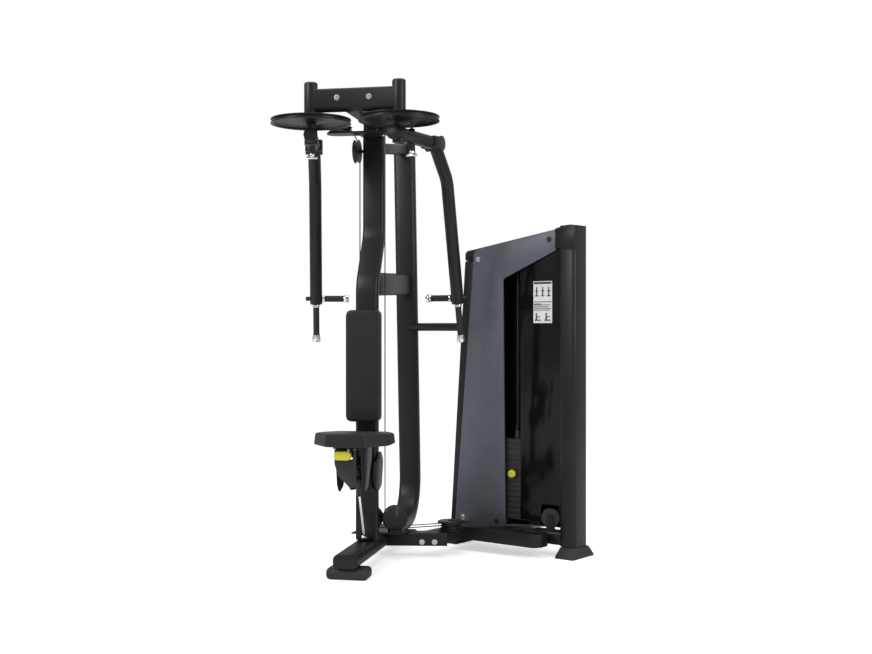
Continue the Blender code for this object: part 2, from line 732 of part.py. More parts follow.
GRIP_PROFILE_VERTICAL = [(0, 0), (0.016, 0), (0.016, -0.012), (0.0148, -0.014), (0.0148, -0.150)]
GRIP_PROFILE_VERTICAL += [(0.019, -0.166), (0.020, -0.178), (0.016, -0.1835), (0, -0.1835)]
GRIP_PROFILE_HORIZONTAL = [(0, 0.129), (0.012, 0.129), (0.0190, 0.124), (0.0190, 0.108), (0.0148, 0.102)]
GRIP_PROFILE_HORIZONTAL += [(0.0148, 0.012), (0.0175, 0.010), (0.0175, 0), (0, 0)]


def grips(axis, word, inward):
    slope = (HANDLE_R - 0.480) / (1.720 - ARM_END_Z)
    down = Vector((slope, 0, -1)).normalized()
    place = Vector((HANDLE_R, 0, ARM_END_Z)) + down * 0.0004
    solid = turned(GRIP_PROFILE_VERTICAL, place, -down, 16)
    node(f"{word}_vertical_grip", solid, "grip_rubber", axis)
    place = Vector((handle_x(1.1846), inward * (ARM_TUBE_RADIUS + 0.0006), 1.1846))
    solid = turned(GRIP_PROFILE_HORIZONTAL, place, (0, inward, 0), 16)
    node(f"{word}_horizontal_grip", solid, "grip_rubber", axis)


def arm(machine, word, side):
    pivot = empty(f"{word}_pivot", (side * PIVOT_X, 0, 0), 0.0, machine)
    cam(pivot, f"{word}_cam", side)
    axis = empty(f"{word}_arm_direction", (0, 0, 0), math.pi / 2 - side * ARM_REST_ANGLE, pivot)
    arm_link(axis, f"{word}_arm_link")
    index_plunger(axis, f"{word}_index_plunger")
    arm_tube(axis, f"{word}_arm_tube", side)
    grips(axis, word, side)


# ---------------------------------------------------------------- pulleys outside the tower

LOWER_Z = 0.178
BASE_PULLEY = (0.315, 0.540)
BASE_PULLEY_ROPE = 0.045
LEFT_GROOVE_Z = 0.1355
RIGHT_GROOVE_Z = 0.1245
LEFT_TOP_CENTRE = (0.338, 1.845)
RIGHT_TOP_ROPE = 0.030
DOWN_Y = 0.388
RIGHT_TOP_CENTRE = (DOWN_Y - RIGHT_TOP_ROPE, 1.9475)


def rotate_sheave(name, parent, rope, flange, width, grooves, bore, place, axis):
    solid = sheave(rope, flange, width, grooves, bore, (0, 0, 0), axis)
    solid.data.transform(Matrix.Translation(place))
    return node(name, solid, "pulley_plastic", parent, place)


def upper_pulleys(machine):
    for word, x, width in (("left", LEFT_CABLE_X - SHEAVE_ROPE, 0.023), ("right", RIGHT_CABLE_X + SHEAVE_ROPE, 0.0300)):
        place = (x, GUIDE_Y, CAM_Z)
        rotate_sheave(f"{word}_guide_pulley", machine, SHEAVE_ROPE, 0.055, width, 1, 0.0079, place, (0, 0, 1))
    place = (LEFT_CABLE_X, *LEFT_TOP_CENTRE)
    rotate_sheave("left_top_pulley", machine, SHEAVE_ROPE, 0.054, 0.020, 1, 0.0079, place, (1, 0, 0))
    place = (RIGHT_CABLE_X, *RIGHT_TOP_CENTRE)
    rotate_sheave("right_top_pulley", machine, RIGHT_TOP_ROPE, 0.034, 0.018, 1, 0.0079, place, (1, 0, 0))


def lower_turn(start):
    """The heading of a cable that comes down at start, so that it meets the base pulley on its rear side.

    The sheave's centre lies one rope radius ahead of the falling cable, along the same heading.
    """
    heading = 0.5
    for _ in range(20):
        centre = Vector(start) + Vector((math.cos(heading), math.sin(heading))) * SHEAVE_ROPE
        gap = Vector(BASE_PULLEY) - centre
        heading = math.atan2(gap.y, gap.x) + math.asin(BASE_PULLEY_ROPE / gap.length)
    return heading, centre


def lower_pulleys(machine):
    """The two sheaves at the foot of the front column, on one bracket."""
    bracket = None
    for word, x in (("left", LEFT_CABLE_X), ("right", RIGHT_CABLE_X)):
        heading, centre = lower_turn((x, DOWN_Y))
        place = (centre.x, centre.y, LOWER_Z)
        axis = Vector((math.sin(heading), -math.cos(heading), 0))
        rotate_sheave(f"{word}_lower_pulley", machine, SHEAVE_ROPE, 0.054, 0.020, 1, 0.0079, place, axis)
        turn = Matrix.Rotation(heading, 4, "Z")
        for low, high in ((-0.0152, -0.0112), (0.0112, 0.0152)):
            cheek = rod((0, low, 0), (0, high, 0), 0.0575, 28)
            foot = BASE_TOP + 0.003 - LOWER_Z
            join(cheek, box((-0.030, low + 0.0003, foot), (0.030, high - 0.0003, -0.040)))
            cheek.data.transform(Matrix.Translation(place) @ turn)
            bracket = join(bracket, cheek) if bracket else cheek
        pin = rod(Vector(place) - axis * 0.0165, Vector(place) + axis * 0.0165, 0.0075, 14)
        join(bracket, pin)
    foot = slab([(-0.110, 0.340), (0.130, 0.372), (0.150, 0.452), (-0.095, 0.452)], 0.01, BASE_TOP + GAP, 0.1160)
    join(bracket, foot)
    return node("lower_pulley_bracket", bracket, "frame_paint", machine)


def base_pulley(machine):
    x, y = BASE_PULLEY
    middle = (LEFT_GROOVE_Z + RIGHT_GROOVE_Z) / 2
    rotate_sheave("base_pulley", machine, BASE_PULLEY_ROPE, 0.050, 0.022, 2, 0.0079, (x, y, middle), (0, 0, 1))
    cover = turned(
        [(0, 0.158), (0.010, 0.158), (0.010, 0.1535), (0.056, 0.1535), (0.059, 0.1505), (0.059, 0.1435), (0, 0.1435)],
        (x, y, 0),
        steps=28,
    )
    join(cover, rod((x, y, 0.111), (x, y, 0.150), 0.0075, 14))
    join(cover, rod((x, y, BASE_TOP + GAP), (x, y, 0.1165), 0.050, 28))
    return node("base_pulley_cover", cover, "frame_paint", machine)


# ---------------------------------------------------------------- cables


def upper_route(side, x, top, top_rope):
    """From the cam, round the guide pulley, over the top pulley and down towards the lower pulley."""
    cam_centre = Vector((-PIVOT_X, 0))
    guide = Vector((-side * x - SHEAVE_ROPE, GUIDE_Y))
    gap = guide - cam_centre
    lean = math.acos((CAM_CABLE_RADIUS + SHEAVE_ROPE) / gap.length)
    touch = math.atan2(gap.y, gap.x) + lean
    plan = arc_points(cam_centre, CAM_CABLE_RADIUS, touch + 0.9, touch, 6)
    plan += arc_points(guide, SHEAVE_ROPE, touch - math.pi, 0, 4)
    points = [Vector((side * -p.x, p.y, CAM_Z)) for p in plan]
    points.append(Vector((x, GUIDE_Y, CAM_Z)))
    first = tangent_angle((GUIDE_Y, CAM_Z), top, top_rope, True)
    points += [Vector((x, p.x, p.y)) for p in arc_points(top, top_rope, first, 0, 5)]
    return points


def lower_route(x, groove_z):
    """Round the lower pulley and past the rear side of the base pulley."""
    heading, centre = lower_turn((x, DOWN_Y))
    ahead = Vector((math.cos(heading), math.sin(heading)))
    points = []
    for place in arc_places(SHEAVE_ROPE, math.pi, math.pi * 1.5, 4):
        flat = centre + ahead * place.x
        points.append(Vector((flat.x, flat.y, LOWER_Z + place.y)))
    start, end = heading + math.pi / 2, tower_heading() + math.pi / 2
    for place in arc_places(BASE_PULLEY_ROPE, start, end, 2):
        flat = Vector(BASE_PULLEY) + place
        points.append(Vector((flat.x, flat.y, groove_z)))
    return points


TOWER_SHEAVE_ROPE = 0.040
TOWER_SHEAVE = (0.5185, 0.043)
TOWER_SHEAVE_Z = 0.1680
TOP_SHEAVE_Z = 1.352
TOP_ROPE = 0.034
TOP_SHEAVES = (STACK_T + TOP_ROPE, RISE_T - TOP_ROPE)


def tower_point(t, n, z=0.0):
    turn = Matrix.Rotation(TOWER_TURN, 3, "Z")
    return Vector(TOWER_PLACE) + turn @ Vector((t, n, z))


def tower_heading():
    """The heading of the cables from the base pulley's rear side to the tower's own base pulley."""
    target = tower_point(*TOWER_SHEAVE).to_2d()
    gap = target - Vector(BASE_PULLEY)
    return math.atan2(gap.y, gap.x) - math.asin(BASE_PULLEY_ROPE / gap.length)


def tower_route(shift):
    """Under the tower's base pulley, up behind the shroud and over the two top pulleys to the stack."""
    heading = tower_heading()
    ahead = Vector((math.cos(heading), math.sin(heading)))
    across = Vector((-math.sin(heading), math.cos(heading))) * shift
    centre = tower_point(*TOWER_SHEAVE).to_2d() + across
    points = []
    for place in arc_places(TOWER_SHEAVE_ROPE, -math.pi / 2, 0, 4):
        flat = centre + ahead * place.x
        points.append(Vector((flat.x, flat.y, TOWER_SHEAVE_Z + place.y)))
    left, right = TOP_SHEAVES
    for middle, start, end in ((right, 0, math.pi / 2), (left, math.pi / 2, math.pi)):
        for place in arc_places(TOP_ROPE, start, end, 4):
            points.append(tower_point(middle + place.x, STACK_N + shift, TOP_SHEAVE_Z + place.y))
    points.append(tower_point(STACK_T, STACK_N + shift, TOP_SHEAVE_Z))
    return points


def cables(machine, tower):
    for word, side, x, top, rope, groove, shift in (
        ("left", -1, LEFT_CABLE_X, LEFT_TOP_CENTRE, SHEAVE_ROPE, LEFT_GROOVE_Z, 0.0055),
        ("right", 1, RIGHT_CABLE_X, RIGHT_TOP_CENTRE, RIGHT_TOP_ROPE, RIGHT_GROOVE_Z, -0.0055),
    ):
        points = upper_route(side, x, top, rope) + lower_route(x, groove) + tower_route(shift)
        node(f"{word}_cable", tube(points, CABLE_RADIUS, CABLE_SIDES), "cable_coat", machine)
    low = STACK_LOW + PLATE_PITCH * (PLATES_DOWN + PLATES_LIFTED) + 0.042
    clip = box((STACK_T - 0.006, STACK_N - 0.012, low), (STACK_T + 0.006, STACK_N + 0.012, low + 0.02))
    for shift in (-0.0055, 0.0055):
        line = [(STACK_T, STACK_N + shift, low + 0.01), (STACK_T, STACK_N + shift, TOP_SHEAVE_Z - 0.001)]
        join(clip, tube(line, CABLE_RADIUS, CABLE_SIDES))
    node("stack_cable", clip, "cable_coat", tower)


# ---------------------------------------------------------------- tower


def rail_top(t):
    return 1.426 + (t - 0.12) * RAIL_SLOPE


def tower_frame(tower):
    low, high = 0.0045, 0.0955
    upright = slab([(0.596, -0.010), (0.682, -0.010), (0.682, 0.102), (0.596, 0.102)], 0.018, 0.050, 1.512, steps=4)
    node("tower_right_upright", upright, "frame_paint", tower)
    foot = box((0.592, -0.050, 0), (0.700, 0.142, 0.0497), 0.0)
    for vert in foot.data.vertices:
        if vert.co.z > 0.02:
            vert.co.x = 0.646 + (vert.co.x - 0.646) * 0.78
            vert.co.y = 0.046 + (vert.co.y - 0.046) * 0.62
            vert.co.z = 0.0497
    bevelled(foot, 0.008, 2, 25)
    node("tower_right_foot", foot, "foot_rubber", tower)
    lean = (0.083 + 0.010) / (1.41 - 0.05)
    left_low, left_high = -0.010, -0.010 + lean * (LEFT_TOP - 0.05)
    corners = [(left_low - 0.030, 0.050), (left_low + 0.030, 0.050), (left_high + 0.030, LEFT_TOP), (left_high - 0.030, LEFT_TOP)]
    left = front_slab(corners, 0.0, low, high)
    bevelled(left, 0.010, 3)
    foot = box((-0.062, -0.045, 0), (0.040, 0.145, 0.0535), 0.012)
    join(left, foot)
    node("tower_left_upright", left, "frame_paint", tower)
    rail = [(0.0535, 1.370), (0.0535, 1.4156), (0.120, rail_top(0.12)), (RAIL_END, rail_top(RAIL_END))]
    rail += [(RAIL_END, rail_top(RAIL_END) - 0.050), (0.130, rail_top(0.13) - 0.050)]
    rail = front_slab(rail, [0.0, 0.020, 0.03, 0, 0, 0], low, high, 4)
    bevelled(rail, 0.005, 2)
    for n in (0.030, 0.066):
        hanger = [(0.352, 1.325), (0.534, 1.325), (0.534, 1.425), (0.352, 1.425)]
        join(rail, front_slab(hanger, [0.03, 0.03, 0, 0], n, n + 0.004, 3))
    join(rail, box((0.411, 0.032, ROD_BRIDGE), (0.437, 0.068, ROD_BRIDGE + 0.022)))
    for t in TOP_SHEAVES:
        join(rail, rod((t, 0.031, TOP_SHEAVE_Z), (t, 0.069, TOP_SHEAVE_Z), 0.0075, 14))
    node("tower_top_rail", rail, "frame_paint", tower)
    return left


def tower_base_beam(tower, left):
    solid = bar((-0.010, 0.050, 0.08), (RAIL_END, 0.050, 0.08), 0.086, 0.060, 0.012)
    cut(solid, grown(left, tower))
    keep_longest(solid, 0)
    heading = tower_heading() - TOWER_TURN
    turn = Matrix.Rotation(heading, 4, "Z")
    t, n = TOWER_SHEAVE
    for low, high in ((-0.0170, -0.0130), (0.0130, 0.0170)):
        corners = [(-0.022, -0.066), (0.022, -0.066), (0.016, 0.012), (-0.016, 0.012)]
        cheek = front_slab(corners, [0, 0, 0.012, 0.012], low, high, 3)
        cheek.data.transform(Matrix.Translation((t, n, TOWER_SHEAVE_Z)) @ turn)
        join(solid, cheek)
    axis = turn @ Vector((0, 1, 0))
    place = Vector((t, n, TOWER_SHEAVE_Z))
    join(solid, rod(place - axis * 0.0165, place + axis * 0.0165, 0.0075, 14))
    node("tower_base_beam", solid, "frame_paint", tower)
    rotate_sheave("tower_base_pulley", tower, TOWER_SHEAVE_ROPE, 0.0435, 0.022, 2, 0.0079, place, axis)
    for word, t in (("left", TOP_SHEAVES[0]), ("right", TOP_SHEAVES[1])):
        place = (t, STACK_N, TOP_SHEAVE_Z)
        rotate_sheave(f"tower_{word}_top_pulley", tower, TOP_ROPE, 0.0385, 0.022, 2, 0.0079, place, (0, 1, 0))


def tower_skins(tower):
    corners = [(0.0, 0.111), (0.114, 1.420), (0.577, 1.4965), (0.577, 1.401), (0.2825, 1.277), (0.295, 0.111)]
    panel = front_slab(list(reversed(corners)), [0.004, 0.02, 0.010, 0.010, 0.030, 0.004], -0.0040, 0.0040, 4)
    node("tower_side_panel", panel, "panel_paint", tower)
    left, right = 0.3740, 0.5950
    corners = [(left, 0.150), (0.480, 0.150), (0.492, 0.232), (right, 0.232)]
    corners += [(right, rail_top(right) - 0.053), (left, rail_top(left) - 0.053)]
    node("tower_shroud", front_slab(corners, 0.004, 0.0080, 0.0120, 2), "gloss_black", tower)
    corners = [(-0.005, 0.115), (0.5950, 0.115), (0.5950, rail_top(0.5950) - 0.004), (0.120, 1.420), (0.086, 1.400)]
    node("tower_back_cover", front_slab(corners, 0.004, 0.0960, 0.0990, 2), "gloss_black", tower)


def stack_plates(count, low):
    """A pile of plates with narrow grooves between them, on a slightly smaller core."""
    half_t, half_n = 0.140, 0.036
    core = box(
        (STACK_T - half_t + 0.002, STACK_N - half_n + 0.002, low + 0.0005),
        (STACK_T + half_t - 0.002, STACK_N + half_n - 0.002, low + PLATE_PITCH * count - 0.001),
    )
    for k in range(count):
        base = low + PLATE_PITCH * k
        top = base + PLATE_PITCH - 0.0016
        join(core, box((STACK_T - half_t, STACK_N - half_n, base), (STACK_T + half_t, STACK_N + half_n, top)))
    return core


def guide_holes(solid, low, high):
    for t in (STACK_T - 0.090, STACK_T + 0.090):
        cut(solid, rod((t, STACK_N, low), (t, STACK_N, high), 0.0108, 14))


def weight_stack(tower):
    down = stack_plates(PLATES_DOWN, STACK_LOW)
    for t in (STACK_T - 0.090, STACK_T + 0.090):
        join(down, rod((t, STACK_N, 0.1208), (t, STACK_N, STACK_LOW + 0.005), 0.024, 18))
    guide_holes(down, 0.1, 0.5)
    node("lower_weight_plates", down, "plate_iron", tower)
    low = STACK_LOW + PLATE_PITCH * PLATES_DOWN
    top = low + PLATE_PITCH * PLATES_LIFTED
    lifted = stack_plates(PLATES_LIFTED, low)
    join(lifted, rod((STACK_T, STACK_N, top - 0.004), (STACK_T, STACK_N, top + 0.040), 0.016, 18))
    guide_holes(lifted, 0.2, 0.7)
    pin_z = low + PLATE_PITCH / 2
    cut(lifted, rod((STACK_T, STACK_N - 0.060, pin_z), (STACK_T, STACK_N + 0.020, pin_z), 0.0058, 14))
    node("lifted_weight_plates", lifted, "plate_iron", tower)
    profile = [(0, 0.046), (0.005, 0.046), (0.005, -0.0020), (0.012, -0.0020), (0.0185, -0.008), (0.0185, -0.022)]
    profile += [(0.013, -0.028), (0, -0.028)]
    pin = turned(profile, (STACK_T, STACK_N - 0.0385, pin_z), (0, 1, 0), 18)
    node("selector_pin", pin, "yellow_plastic", tower, (STACK_T, STACK_N - 0.0385, pin_z))
    rods = box((STACK_T - 0.112, STACK_N - 0.020, BASE_TOP + GAP), (STACK_T + 0.112, STACK_N + 0.020, 0.1205))
    for t in (STACK_T - 0.090, STACK_T + 0.090):
        top = rail_top(t) - 0.0520 if t < STACK_T else ROD_BRIDGE - GAP
        join(rods, rod((t, STACK_N, 0.115), (t, STACK_N, top), 0.0100, 16))
    node("guide_rods", rods, "chrome", tower)


# ---------------------------------------------------------------- the whole machine


def build():
    machine = empty("machine", (0, FOOT_TO_PIVOT, 0))
    tower = empty("tower", TOWER_PLACE, TOWER_TURN, machine)
    rear = base_and_rear_column(machine)
    front = front_column(machine)
    braces(machine, front, rear)
    crossbeam(machine)
    guide_plate(machine)
    feet_of_main_frame(machine)
    leg = cross_leg(machine, rear)
    tower_front_beam(tower, leg)
    left_upright = tower_frame(tower)
    side_tube(machine, rear, left_upright)
    tower_base_beam(tower, left_upright)
    tower_skins(tower)
    weight_stack(tower)
    back_pad(machine)
    seat_pad(machine)
    seat_bracket(machine)
    seat_link(machine, "seat_upper_link", BRACKET_PINS[0], CARRIAGE_PINS[0])
    seat_link(machine, "seat_lower_link", BRACKET_PINS[1], CARRIAGE_PINS[1])
    seat_carriage(machine)
    seat_shield(machine)
    seat_lever(machine)
    gas_spring(machine)
    arm(machine, "left", -1)
    arm(machine, "right", 1)
    upper_pulleys(machine)
    lower_pulleys(machine)
    base_pulley(machine)
    cables(machine, tower)


clear_scene()
make_finishes()
PARTS = new_collection("pec_deck_machine", False)
HELPERS = new_collection("cutters", True)
build()
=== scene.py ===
"""A pec deck machine with a weight stack: materials, pads, grips and fittings round the CAD frame."""

import json
import math

import bmesh
import bpy
import numpy as np
from mathutils import Matrix, Vector


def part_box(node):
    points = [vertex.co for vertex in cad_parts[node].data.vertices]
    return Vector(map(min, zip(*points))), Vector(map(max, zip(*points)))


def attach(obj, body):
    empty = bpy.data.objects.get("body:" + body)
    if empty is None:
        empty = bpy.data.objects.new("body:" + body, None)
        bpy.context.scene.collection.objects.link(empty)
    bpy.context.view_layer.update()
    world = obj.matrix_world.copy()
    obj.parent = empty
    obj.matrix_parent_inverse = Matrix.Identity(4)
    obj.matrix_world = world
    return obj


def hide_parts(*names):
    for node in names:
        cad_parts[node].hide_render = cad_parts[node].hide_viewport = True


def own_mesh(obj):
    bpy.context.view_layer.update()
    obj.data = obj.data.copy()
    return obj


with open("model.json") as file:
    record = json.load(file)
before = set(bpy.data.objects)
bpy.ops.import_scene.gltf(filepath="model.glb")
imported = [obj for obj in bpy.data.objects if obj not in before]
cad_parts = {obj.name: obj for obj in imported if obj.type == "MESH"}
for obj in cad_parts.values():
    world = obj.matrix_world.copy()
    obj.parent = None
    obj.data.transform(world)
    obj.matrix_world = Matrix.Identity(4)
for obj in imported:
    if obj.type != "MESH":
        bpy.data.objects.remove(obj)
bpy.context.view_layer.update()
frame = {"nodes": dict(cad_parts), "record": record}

# Places are in metres, in the row frame. The arm pivots are 90 mm behind the origin.
PIVOT_X, PIVOT_Y = 0.193, 0.09
REST_LEAN = math.radians(14.5)
TOWER = Matrix.Translation((0.2897, 0.9105, 0)) @ Matrix.Rotation(math.radians(-27), 4, "Z")
ARMS = {
    "left": Matrix.Translation((-PIVOT_X, PIVOT_Y, 0)) @ Matrix.Rotation(math.pi / 2 + REST_LEAN, 4, "Z"),
    "right": Matrix.Translation((PIVOT_X, PIVOT_Y, 0)) @ Matrix.Rotation(math.pi / 2 - REST_LEAN, 4, "Z"),
}
INWARD = {"left": -1, "right": 1}

# ---------------------------------------------------------------- shared node groups


def new_group(name, inputs, outputs):
    made = bpy.data.node_groups.new(name, "ShaderNodeTree")
    for label, kind, value in inputs:
        socket = made.interface.new_socket(label, in_out="INPUT", socket_type=kind)
        if value is not None:
            socket.default_value = value
    for label, kind in outputs:
        made.interface.new_socket(label, in_out="OUTPUT", socket_type=kind)
    return made, made.nodes.new("NodeGroupInput"), made.nodes.new("NodeGroupOutput")


def add(tree, kind, **settings):
    node = tree.nodes.new(kind)
    for key, value in settings.items():
        if key in node.inputs.keys():
            node.inputs[key].default_value = value
        else:
            setattr(node, key, value)
    return node


def grain_group():
    """Fine surface texture: a normal, and a slow and a fine variation from 0 to 1."""
    inputs = [("Scale", "NodeSocketFloat", 900.0), ("Strength", "NodeSocketFloat", 0.1)]
    inputs += [("Distance", "NodeSocketFloat", 0.0002)]
    outputs = [("Normal", "NodeSocketVector"), ("Slow", "NodeSocketFloat"), ("Fine", "NodeSocketFloat")]
    tree, start, end = new_group("surface_grain", inputs, outputs)
    coords = add(tree, "ShaderNodeTexCoord")
    fine = add(tree, "ShaderNodeTexNoise", Detail=3.0, Roughness=0.6)
    slow = add(tree, "ShaderNodeTexNoise", Scale=9.0, Detail=4.0, Roughness=0.55)
    bump = add(tree, "ShaderNodeBump")
    tree.links.new(coords.outputs["Object"], fine.inputs["Vector"])
    tree.links.new(coords.outputs["Object"], slow.inputs["Vector"])
    tree.links.new(start.outputs["Scale"], fine.inputs["Scale"])
    tree.links.new(start.outputs["Strength"], bump.inputs["Strength"])
    tree.links.new(start.outputs["Distance"], bump.inputs["Distance"])
    tree.links.new(fine.outputs["Fac"], bump.inputs["Height"])
    tree.links.new(bump.outputs["Normal"], end.inputs["Normal"])
    tree.links.new(slow.outputs["Fac"], end.inputs["Slow"])
    tree.links.new(fine.outputs["Fac"], end.inputs["Fine"])
    return tree


def edge_group():
    """A mask that is 1 on the outer edges of a piece, broken up by noise, where a painted highlight lightens
    the colour.
    """
    inputs = [("Width", "NodeSocketFloat", 0.0012), ("Amount", "NodeSocketFloat", 1.0)]
    tree, start, end = new_group("painted_edge_highlight", inputs, [("Mask", "NodeSocketFloat")])
    geometry = add(tree, "ShaderNodeNewGeometry")
    bevel = add(tree, "ShaderNodeBevel", samples=4)
    turn = add(tree, "ShaderNodeVectorMath", operation="DOT_PRODUCT")
    spread = add(tree, "ShaderNodeMapRange", clamp=True)
    spread.inputs["From Min"].default_value = 0.985
    spread.inputs["From Max"].default_value = 0.90
    coords = add(tree, "ShaderNodeTexCoord")
    noise = add(tree, "ShaderNodeTexNoise", Scale=38.0, Detail=5.0, Roughness=0.7)
    pick = add(tree, "ShaderNodeMapRange", clamp=True)
    pick.inputs["From Min"].default_value = 0.42
    pick.inputs["From Max"].default_value = 0.66
    both = add(tree, "ShaderNodeMath", operation="MULTIPLY")
    scaled = add(tree, "ShaderNodeMath", operation="MULTIPLY")
    tree.links.new(start.outputs["Width"], bevel.inputs["Radius"])
    tree.links.new(bevel.outputs["Normal"], turn.inputs[0])
    tree.links.new(geometry.outputs["Normal"], turn.inputs[1])
    tree.links.new(turn.outputs["Value"], spread.inputs["Value"])
    tree.links.new(coords.outputs["Object"], noise.inputs["Vector"])
    tree.links.new(noise.outputs["Fac"], pick.inputs["Value"])
    tree.links.new(spread.outputs["Result"], both.inputs[0])
    tree.links.new(pick.outputs["Result"], both.inputs[1])
    tree.links.new(both.outputs["Value"], scaled.inputs[0])
    tree.links.new(start.outputs["Amount"], scaled.inputs[1])
    tree.links.new(scaled.outputs["Value"], end.inputs["Mask"])
    return tree


def leather_group():
    """Vinyl with a pebbled grain: a normal, and the pebbles as a value from 0 to 1."""
    inputs = [("Scale", "NodeSocketFloat", 620.0), ("Strength", "NodeSocketFloat", 0.35)]
    outputs = [("Normal", "NodeSocketVector"), ("Pebble", "NodeSocketFloat")]
    tree, start, end = new_group("vinyl_grain", inputs, outputs)
    coords = add(tree, "ShaderNodeTexCoord")
    warp = add(tree, "ShaderNodeTexNoise", Scale=70.0, Detail=2.0)
    shift = add(tree, "ShaderNodeVectorMath", operation="MULTIPLY_ADD")
    shift.inputs[1].default_value = (0.006, 0.006, 0.006)
    cells = add(tree, "ShaderNodeTexVoronoi", feature="SMOOTH_F1", Randomness=1.0)
    bump = add(tree, "ShaderNodeBump", Distance=0.0004)
    tree.links.new(coords.outputs["Object"], warp.inputs["Vector"])
    tree.links.new(warp.outputs["Color"], shift.inputs[0])
    tree.links.new(coords.outputs["Object"], shift.inputs[2])
    tree.links.new(shift.outputs["Vector"], cells.inputs["Vector"])
    tree.links.new(start.outputs["Scale"], cells.inputs["Scale"])
    tree.links.new(cells.outputs["Distance"], bump.inputs["Height"])
    tree.links.new(start.outputs["Strength"], bump.inputs["Strength"])
    tree.links.new(bump.outputs["Normal"], end.inputs["Normal"])
    tree.links.new(cells.outputs["Distance"], end.inputs["Pebble"])
    return tree


GRAIN = grain_group()
EDGES = edge_group()
VINYL = leather_group()


# ---------------------------------------------------------------- materials


def ramp(tree, source, stops):
    made = add(tree, "ShaderNodeValToRGB")
    while len(made.color_ramp.elements) < len(stops):
        made.color_ramp.elements.new(0.5)
    for element, (place, colour) in zip(made.color_ramp.elements, stops):
        element.position = place
        element.color = (*colour, 1)
    tree.links.new(source, made.inputs["Fac"])
    return made.outputs["Color"]


def material(name, dark, light, roughness, grain, metallic=0.0, edge_highlight=None, **shader_values):
    """A Principled material whose colour and roughness vary slowly, with a fine grain and, where given, a
    painted highlight that lightens its edges.
    """
    made = bpy.data.materials.new(name)
    made.use_nodes = True
    tree = made.node_tree
    shader = tree.nodes["Principled BSDF"]
    shader.inputs["Metallic"].default_value = metallic
    for key, value in shader_values.items():
        shader.inputs[key.replace("_", " ")].default_value = value
    texture = add(tree, "ShaderNodeGroup", node_tree=GRAIN)
    for key, value in zip(("Scale", "Strength", "Distance"), grain):
        texture.inputs[key].default_value = value
    colour = ramp(tree, texture.outputs["Slow"], [(0.30, dark), (0.70, light)])
    rough = add(tree, "ShaderNodeMapRange")
    rough.inputs["To Min"].default_value = roughness[0]
    rough.inputs["To Max"].default_value = roughness[1]
    rough.inputs["From Min"].default_value = 0.3
    rough.inputs["From Max"].default_value = 0.7
    tree.links.new(texture.outputs["Fine"], rough.inputs["Value"])
    tree.links.new(rough.outputs["Result"], shader.inputs["Roughness"])
    tree.links.new(texture.outputs["Normal"], shader.inputs["Normal"])
    # Painted highlight: the edges are mixed towards a lighter colour through the edge mask.
    if edge_highlight:
        edges = add(tree, "ShaderNodeGroup", node_tree=EDGES)
        edges.inputs["Width"].default_value = edge_highlight[0]
        edges.inputs["Amount"].default_value = edge_highlight[1]
        mix = add(tree, "ShaderNodeMix", data_type="RGBA")
        mix.inputs["B"].default_value = (*edge_highlight[2], 1)
        tree.links.new(edges.outputs["Mask"], mix.inputs["Factor"])
        tree.links.new(colour, mix.inputs["A"])
        colour = mix.outputs["Result"]
    tree.links.new(colour, shader.inputs["Base Color"])
    return made


def vinyl(name, dark, light, scale, strength):
    made = material(name, dark, light, (0.38, 0.52), (1500.0, 0.05, 0.0001), Specular_IOR_Level=0.30)
    tree = made.node_tree
    shader = tree.nodes["Principled BSDF"]
    pebbles = add(tree, "ShaderNodeGroup", node_tree=VINYL)
    pebbles.inputs["Scale"].default_value = scale
    pebbles.inputs["Strength"].default_value = strength
    shader.inputs["Sheen Weight"].default_value = 0.03
    tree.links.new(pebbles.outputs["Normal"], shader.inputs["Normal"])
    return made


